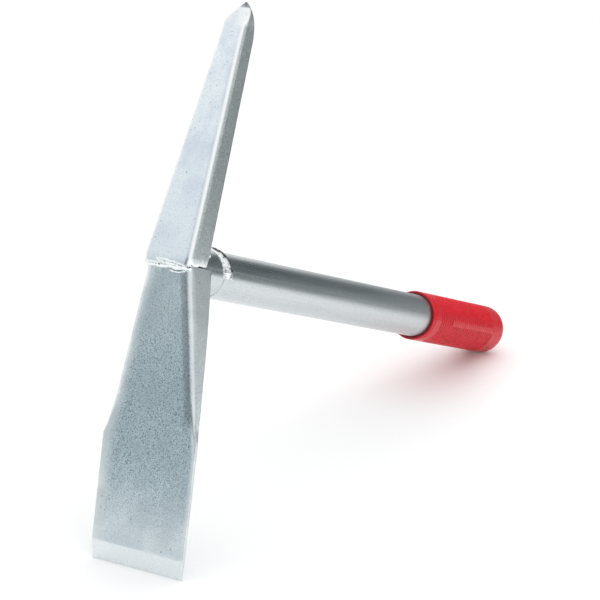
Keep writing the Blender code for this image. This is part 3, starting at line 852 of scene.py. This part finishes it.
def zinc_plated_forging_rough():
    """Zinc over the scaled skin of a forging: bluish grey with a fine dark speckle, strongest at mid blade.

    The speckle fades towards the seam, the bevel and the edges, where the press has worn the scale off.
    """
    made, tree = bare_material("zinc_plated_forging_rough")
    place = tool_place(tree)
    _, across, height = add(tree, "SeparateXYZ", {0: place}).node.outputs
    half = add(tree, "Math", {0: height, 1: -BLADE_FLARE, 2: BLADE_TOP_HALF}, operation="MULTIPLY_ADD")
    half = add(tree, "Math", {0: half, 1: PLATE_HALF}, operation="MINIMUM")
    off_near = add(tree, "Math", {0: half, 1: across}, operation="ADD")
    off_far = add(tree, "Math", {0: half, 1: across}, operation="SUBTRACT")
    near = add(tree, "MapRange", {0: off_near, 1: 0.5 * MM, 2: 3 * MM}, interpolation_type="SMOOTHSTEP")
    far = add(tree, "MapRange", {0: off_far, 1: 0.5 * MM, 2: 10 * MM}, interpolation_type="SMOOTHSTEP")
    middle = add(tree, "Math", {0: near, 1: far}, operation="MULTIPLY")
    low = add(tree, "MapRange", {0: height, 1: -95 * MM, 2: -150 * MM}, interpolation_type="SMOOTHSTEP")
    down = add(tree, "MapRange", {0: height, 1: -20 * MM, 2: -70 * MM})
    base = add(tree, "Mix", {0: down, 6: colour("d2dfe2"), 7: colour("c1d3d8")}, out=2, data_type="RGBA")
    base = add(tree, "Mix", {0: low, 6: base, 7: colour("e2eaee")}, out=2, data_type="RGBA")
    base = add(tree, "Mix", {0: middle, 6: colour("e4eaeb"), 7: base}, out=2, data_type="RGBA")
    fine = add(tree, "TexNoise", {"Vector": place, "Scale": 1 / (0.65 * MM), "Detail": 3.0, "Roughness": 0.6})
    dots = add(tree, "MapRange", {0: fine, 1: 0.39, 2: 0.52, 3: 1.0, 4: 0.0})
    below_seam = add(tree, "MapRange", {0: height, 1: -10 * MM, 2: -60 * MM, 3: 0.6, 4: 1.0})
    depth_share = add(tree, "MapRange", {0: low, 1: 0.0, 2: 1.0, 3: 1.0, 4: 0.2})
    beside = add(tree, "MapRange", {0: off_near, 1: 0.5 * MM, 2: 0.1 * MM, 3: 0.0, 4: 0.4})
    speckle = add(tree, "Math", {0: middle, 1: beside}, operation="MAXIMUM")
    for share in (depth_share, below_seam, dots):
        speckle = add(tree, "Math", {0: speckle, 1: share}, operation="MULTIPLY")
    base = add(tree, "Mix", {0: speckle, 6: base, 7: colour("76868f")}, out=2, data_type="RGBA")
    clouds = add(tree, "TexNoise", {"Vector": place, "Scale": 1 / (14 * MM), "Detail": 3.0})
    clouded = add(tree, "MapRange", {0: clouds, 1: 0.35, 2: 0.65, 4: 0.3}, interpolation_type="SMOOTHSTEP")
    base = add(tree, "Mix", {0: clouded, 6: base, 7: colour("a7b5bd")}, out=2, data_type="RGBA")
    holes = add(tree, "TexNoise", {"Vector": place, "Scale": 1 / (1.5 * MM), "Detail": 1.0})
    pinholes = add(tree, "MapRange", {0: holes, 1: 0.22, 2: 0.28, 3: 0.7, 4: 0.0})
    base = add(tree, "Mix", {0: pinholes, 6: base, 7: colour("5f6b73")}, out=2, data_type="RGBA")
    rough = add(tree, "MapRange", {0: fine, 1: 0.3, 2: 0.7, 3: 0.44, 4: 0.34})
    normal = add(tree, "Bump", {"Height": fine, "Distance": 0.05 * MM, "Strength": 0.5})
    looks = {"Base Color": base, "Metallic": 1.0, "Roughness": rough, "Normal": normal}
    add(tree, "OutputMaterial", {"Surface": add(tree, "BsdfPrincipled", looks)})
    return made


def zinc_plated_ground_bevel():
    """Zinc over a belt ground edge: nearly white, with fine scratches straight down to the edge.

    A belt's own scratches are about 0.2 mm apart, too fine to show, so they are drawn 0.5 mm apart.
    """
    made, tree = bare_material("zinc_plated_ground_bevel")
    place = tool_place(tree, (1, 1, 0.06))
    scratches = add(tree, "TexNoise", {"Vector": place, "Scale": 1 / (0.5 * MM), "Detail": 2.0})
    bright = add(tree, "MapRange", {0: scratches, 1: 0.35, 2: 0.65})
    base = add(tree, "Mix", {0: bright, 6: colour("dfe6e9"), 7: colour("e9eff1")}, out=2, data_type="RGBA")
    rough = add(tree, "MapRange", {0: scratches, 1: 0.3, 2: 0.7, 3: 0.34, 4: 0.42})
    normal = add(tree, "Bump", {"Height": scratches, "Distance": 0.01 * MM, "Strength": 0.3})
    looks = {"Base Color": base, "Metallic": 1.0, "Roughness": rough, "Normal": normal}
    add(tree, "OutputMaterial", {"Surface": add(tree, "BsdfPrincipled", looks)})
    return made


def zinc_plated_drawn_tube():
    """Bright zinc on drawn tube: smooth, grey, with the faintest drawing lines along it and a few specks.

    Towards the grip hands have dulled it, so that it shows the room more softly there. The lines are drawn
    1.1 mm apart, coarser than a die leaves them, so that they show.
    """
    made, tree = bare_material("zinc_plated_drawn_tube")
    drawn_out = tool_place(tree, (0.02, 1, 1))
    lines = add(tree, "TexNoise", {"Vector": drawn_out, "Scale": 1 / (1.1 * MM), "Detail": 2.0})
    drawn = add(tree, "MapRange", {0: lines, 1: 0.3, 2: 0.7})
    base = add(tree, "Mix", {0: drawn, 6: colour("cdd4d6"), 7: colour("d4dadc")}, out=2, data_type="RGBA")
    place = tool_place(tree)
    fine = add(tree, "TexNoise", {"Vector": place, "Scale": 1 / (1.0 * MM), "Detail": 3.0, "Roughness": 0.6})
    grainy = add(tree, "MapRange", {0: fine, 1: 0.35, 2: 0.55, 3: 0.25, 4: 0.0})
    base = add(tree, "Mix", {0: grainy, 6: base, 7: colour("a3acaf")}, out=2, data_type="RGBA")
    holes = add(tree, "TexNoise", {"Vector": place, "Scale": 1 / (1.6 * MM), "Detail": 1.0})
    specks = add(tree, "MapRange", {0: holes, 1: 0.20, 2: 0.27, 3: 0.6, 4: 0.0})
    base = add(tree, "Mix", {0: specks, 6: base, 7: colour("7d868a")}, out=2, data_type="RGBA")
    along = add(tree, "SeparateXYZ", {0: place}, out="X")
    handled = add(tree, "MapRange", {0: along, 1: 60 * MM, 2: 285 * MM, 3: 0.24, 4: 0.40})
    rough = add(tree, "MapRange", {0: lines, 1: 0.3, 2: 0.7, 3: 0.0, 4: 0.06})
    rough = add(tree, "Math", {0: handled, 1: rough}, operation="ADD")
    normal = add(tree, "Bump", {"Height": fine, "Distance": 0.01 * MM, "Strength": 0.3})
    looks = {"Base Color": base, "Metallic": 1.0, "Roughness": rough, "Normal": normal}
    add(tree, "OutputMaterial", {"Surface": add(tree, "BsdfPrincipled", looks)})
    return made


def zinc_plated_weld():
    """Zinc over a weld bead: glossy and nearly white, with dark clouds, partly smoke stain and partly painted
    shade, and a few black pinholes.

    Two larger pits lie side by side at the near end of the seam. The tube's bead is darker on its top and on
    its outer side: painted shade and dark reflection, mixed with smoke stain.
    """
    made, tree = bare_material("zinc_plated_weld")
    place = tool_place(tree)
    along, across, height = add(tree, "SeparateXYZ", {0: place}).node.outputs
    at_head = add(tree, "MapRange", {0: along, 1: 4 * MM, 2: 8 * MM, 3: 1.0, 4: 0.0})
    # Painted shade and dark reflection: more dark clouds on the near side of the tube bead's top and outer
    # flank
    outside = add(tree, "MapRange", {0: height, 1: 0.0, 2: 4 * MM})
    on_top = add(tree, "MapRange", {0: height, 1: 8 * MM, 2: 12 * MM})
    past_hump = add(tree, "MapRange", {0: along, 1: 38.2 * MM, 2: 39.4 * MM})
    on_hump = add(tree, "MapRange", {0: along, 1: 34.5 * MM, 2: 37 * MM})
    past_hump = add(tree, "Math", {0: outside, 1: past_hump}, operation="MULTIPLY")
    on_hump = add(tree, "Math", {0: on_top, 1: on_hump}, operation="MULTIPLY")
    near_side = add(tree, "MapRange", {0: across, 1: 6 * MM, 2: 2 * MM})
    shade_and_soot_zone = add(tree, "Math", {0: past_hump, 1: on_hump}, operation="MAXIMUM")
    shade_and_soot_zone = add(tree, "Math", {0: shade_and_soot_zone, 1: near_side}, operation="MULTIPLY")
    least = add(tree, "MapRange", {0: shade_and_soot_zone, 1: 0.0, 2: 1.0, 3: 0.57, 4: 0.32})
    # Dark clouds, partly smoke stain and partly painted shade between the weld's strands
    clouds = add(tree, "TexNoise", {"Vector": place, "Scale": 1 / (2 * MM), "Detail": 3.0, "Roughness": 0.6})
    over = add(tree, "Math", {0: clouds, 1: least}, operation="SUBTRACT")
    soot_and_shade = add(tree, "MapRange", {0: over, 1: 0.0, 2: 0.14}, interpolation_type="SMOOTHSTEP")
    base = add(tree, "Mix", {0: soot_and_shade, 6: colour("f0f4f5"), 7: colour("464f4e")}, out=2, data_type="RGBA")
    holes = add(tree, "TexNoise", {"Vector": place, "Scale": 1 / (1.2 * MM), "Detail": 1.0})
    pits = add(tree, "MapRange", {0: holes, 1: 0.22, 2: 0.28, 3: 1.0, 4: 0.0})
    face = add(tree, "VectorMath", {0: place, 1: (0, 1, 1)}, operation="MULTIPLY")
    for y, z in SEAM_PITS:
        away = add(tree, "VectorMath", {0: face, 1: (0, y, z)}, out="Value", operation="DISTANCE")
        pit = add(tree, "MapRange", {0: away, 1: 0.28 * MM, 2: 0.48 * MM, 3: 1.0, 4: 0.0})
        pit = add(tree, "Math", {0: pit, 1: at_head}, operation="MULTIPLY")
        pits = add(tree, "Math", {0: pits, 1: pit}, operation="MAXIMUM")
    base = add(tree, "Mix", {0: pits, 6: base, 7: colour("1b1f21")}, out=2, data_type="RGBA")
    rough = add(tree, "MapRange", {0: soot_and_shade, 1: 0.0, 2: 1.0, 3: 0.26, 4: 0.5})
    normal = add(tree, "Bump", {"Height": clouds, "Distance": 0.08 * MM, "Strength": 0.5})
    looks = {"Base Color": base, "Metallic": 1.0, "Roughness": rough, "Normal": normal}
    add(tree, "OutputMaterial", {"Surface": add(tree, "BsdfPrincipled", looks)})
    return made


def red_soft_pvc():
    """Moulded soft PVC: one red all through, satin, with a faint bloom, and painted shade down in its grooves.
    """
    made, tree = bare_material("red_soft_pvc")
    place = tool_place(tree)
    clouds = add(tree, "TexNoise", {"Vector": place, "Scale": 1 / (7 * MM), "Detail": 3.0})
    bloom = add(tree, "MapRange", {0: clouds, 1: 0.35, 2: 0.70}, interpolation_type="SMOOTHSTEP")
    base = add(tree, "Mix", {0: bloom, 6: colour("d40d21"), 7: colour("dc162a")}, out=2, data_type="RGBA")
    # Painted shade: the red darkens down in the grooves between the ribs
    off_axis = add(tree, "VectorMath", {0: place, 1: (0, 1, 1)}, operation="MULTIPLY")
    reach = add(tree, "VectorMath", {0: off_axis}, out="Value", operation="LENGTH")
    sunk = add(tree, "MapRange", {0: reach, 1: GRIP_RADIUS - 0.25 * MM, 2: GRIP_RADIUS - RIB_DEPTH})
    before_end = GRIP_END - GRIP_END_ROUND - 2 * MM
    along = add(tree, "SeparateXYZ", {0: place}, out="X")
    ribbed = add(tree, "MapRange", {0: along, 1: before_end - 2 * MM, 2: before_end, 3: 1.0, 4: 0.0})
    painted_groove_shade = add(tree, "Math", {0: sunk, 1: ribbed}, operation="MULTIPLY")
    base = add(tree, "Mix", {0: painted_groove_shade, 6: base, 7: colour("7c0514")}, out=2, data_type="RGBA")
    rough = add(tree, "MapRange", {0: bloom, 1: 0.0, 2: 1.0, 3: 0.25, 4: 0.33})
    fine = add(tree, "TexNoise", {"Vector": place, "Scale": 1 / (0.5 * MM), "Detail": 2.0})
    normal = add(tree, "Bump", {"Height": fine, "Distance": 0.01 * MM, "Strength": 0.3})
    looks = {"Base Color": base, "IOR": GRIP_REFRACTION, "Roughness": rough, "Normal": normal}
    add(tree, "OutputMaterial", {"Surface": add(tree, "BsdfPrincipled", looks)})
    return made


# Studio


def hang(lamp, place, target):
    """Puts a lamp in its place. Reflections show the white room there, which its own light would burn out."""
    made = bpy.data.objects.new(lamp.name, lamp)
    made.location = place
    made.rotation_euler = (target - place).to_track_quat("-Z", "Y").to_euler()
    made.visible_glossy = False
    bpy.context.scene.collection.objects.link(made)


def softbox():
    """A lamp in a white box on the camera's right, high up."""
    lamp = bpy.data.lights.new("right_softbox", "AREA")
    lamp.shape = "RECTANGLE"
    lamp.size, lamp.size_y = SOFTBOX_SIZE
    lamp.energy = SOFTBOX_LEVEL * math.pi * math.prod(SOFTBOX_SIZE)
    hang(lamp, SOFTBOX_PLACE, SOFTBOX_TARGET)


def top_light():
    """A wide even light from the ceiling behind the tool, which lays its shadow towards the camera."""
    lamp = bpy.data.lights.new("top_light", "SUN")
    lamp.angle = TOP_SPREAD
    lamp.energy = TOP_LEVEL * math.pi
    hang(lamp, TOP_FROM, Vector((0, 0, 0)))


def card(name, middle, facing, size, shade, soft):
    """A card that only reflections show: the darker parts of a room, without which bright metal has no shape.

    Over its outer shares, soft, it fades away, so that its reflection has no hard edges.
    """
    bm = bmesh.new()
    bmesh.ops.create_grid(bm, x_segments=1, y_segments=1, size=0.5)
    bmesh.ops.scale(bm, vec=(*size, 1), verts=bm.verts)
    turn = Vector(facing).to_track_quat("Z", "Y")
    bmesh.ops.transform(bm, matrix=Matrix.Translation(middle) @ turn.to_matrix().to_4x4(), verts=bm.verts)
    made = on_stage(name, bm)
    made.visible_camera = False
    made.visible_diffuse = False
    made.visible_shadow = False
    surface, tree = bare_material(name + "_board")
    place = add(tree, "TexCoord", out="Object")
    place = add(tree, "Mapping", {"Vector": place, "Location": middle, "Rotation": turn.to_euler(),
                                  "Scale": (*size, 1)}, vector_type="TEXTURE")
    off_middle = add(tree, "VectorMath", {0: place}, operation="ABSOLUTE")
    shares = []
    for off, part in zip(add(tree, "SeparateXYZ", {0: off_middle}).node.outputs, soft):
        reach = {0: off, 1: 0.5 - 0.5 * part, 2: 0.5, 3: 1.0, 4: 0.0}
        shares.append(add(tree, "MapRange", reach, interpolation_type="SMOOTHSTEP"))
    share = add(tree, "Math", dict(enumerate(shares)), operation="MULTIPLY")
    board = add(tree, "Emission", {"Color": colour(shade)})
    clear = add(tree, "BsdfTransparent", {"Color": (1, 1, 1, 1)})
    add(tree, "OutputMaterial", {"Surface": add(tree, "MixShader", {0: share, 1: clear, 2: board})})
    made.data.materials.append(surface)


def on_stage(name, bm):
    mesh = bpy.data.meshes.new(name)
    bm.to_mesh(mesh)
    bm.free()
    made = bpy.data.objects.new(name, mesh)
    bpy.context.scene.collection.objects.link(made)
    return made


def shown_rays(tree):
    """1 for the rays that show a white background: the camera's, and those in gloss and glass."""
    rays = add(tree, "LightPath").node.outputs
    gloss = add(tree, "Math", {0: rays["Is Glossy Ray"], 1: rays["Is Transmission Ray"]}, operation="MAXIMUM")
    return add(tree, "Math", {0: rays["Is Camera Ray"], 1: gloss}, operation="MAXIMUM")


def floor():
    """A floor of white paper, lifted a little so that it is pure white but for the object's shadow."""
    bm = bmesh.new()
    bmesh.ops.create_grid(bm, x_segments=1, y_segments=1, size=FLOOR_SIZE)
    made = on_stage("floor", bm)
    surface, tree = bare_material("white_paper")
    paper = add(tree, "BsdfDiffuse", {"Color": colour("f6f6f6")})
    lift = add(tree, "Emission", {"Color": (1, 1, 1, 1), "Strength": FLOOR_LIFT})
    lifted = add(tree, "AddShader", {0: paper, 1: lift})
    shown = add(tree, "MixShader", {0: shown_rays(tree), 1: paper, 2: lifted})
    add(tree, "OutputMaterial", {"Surface": shown})
    made.data.materials.append(surface)


def world():
    """A room that looks white, also in reflections, but lights the object evenly at its own lower level."""
    made = bpy.data.worlds.new("studio")
    made.use_nodes = True
    tree = made.node_tree
    tree.nodes.clear()
    white = add(tree, "Background", {"Color": (1, 1, 1, 1), "Strength": 1.0})
    room = add(tree, "Background", {"Color": (1, 1, 1, 1), "Strength": ROOM_LEVEL})
    add(tree, "OutputWorld", {"Surface": add(tree, "MixShader", {0: shown_rays(tree), 1: room, 2: white})})
    bpy.context.scene.world = made


def camera():
    """The photograph's camera; the half pixel of shift is where the photograph's frame lies."""
    made = bpy.data.cameras.new("camera")
    made.sensor_width = SENSOR_MM
    made.lens = CAMERA_FOCAL_PX * SENSOR_MM / PHOTO_PX
    made.shift_x = -0.5 / PHOTO_PX
    made.shift_y = 0.5 / PHOTO_PX
    shown = bpy.data.objects.new("camera", made)
    shown.location = CAMERA_PLACE
    turn = CAMERA_AIM.to_track_quat("-Z", "Y").to_matrix() @ Matrix.Rotation(CAMERA_ROLL, 3, "Z")
    shown.rotation_euler = turn.to_euler()
    bpy.context.scene.collection.objects.link(shown)
    bpy.context.scene.camera = shown


for old in list(bpy.data.objects):
    bpy.data.objects.remove(old, do_unlink=True)

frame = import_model()
TOOL = tool_frame()

pick()
blade()
seam_bead()
spigot_bar()
root_bead("upper_root_bead", "root_weld_upper", UPPER_ROOT_X, math.pi / 2)
root_bead("lower_root_bead", "root_weld_lower", LOWER_ROOT_X, -math.pi / 2)
tube()
tube_bead()
grip()

floor()
world()
top_light()
softbox()
for values in CARDS:
    card(*values)
camera()
bpy.context.scene.view_settings.view_transform = "Standard"
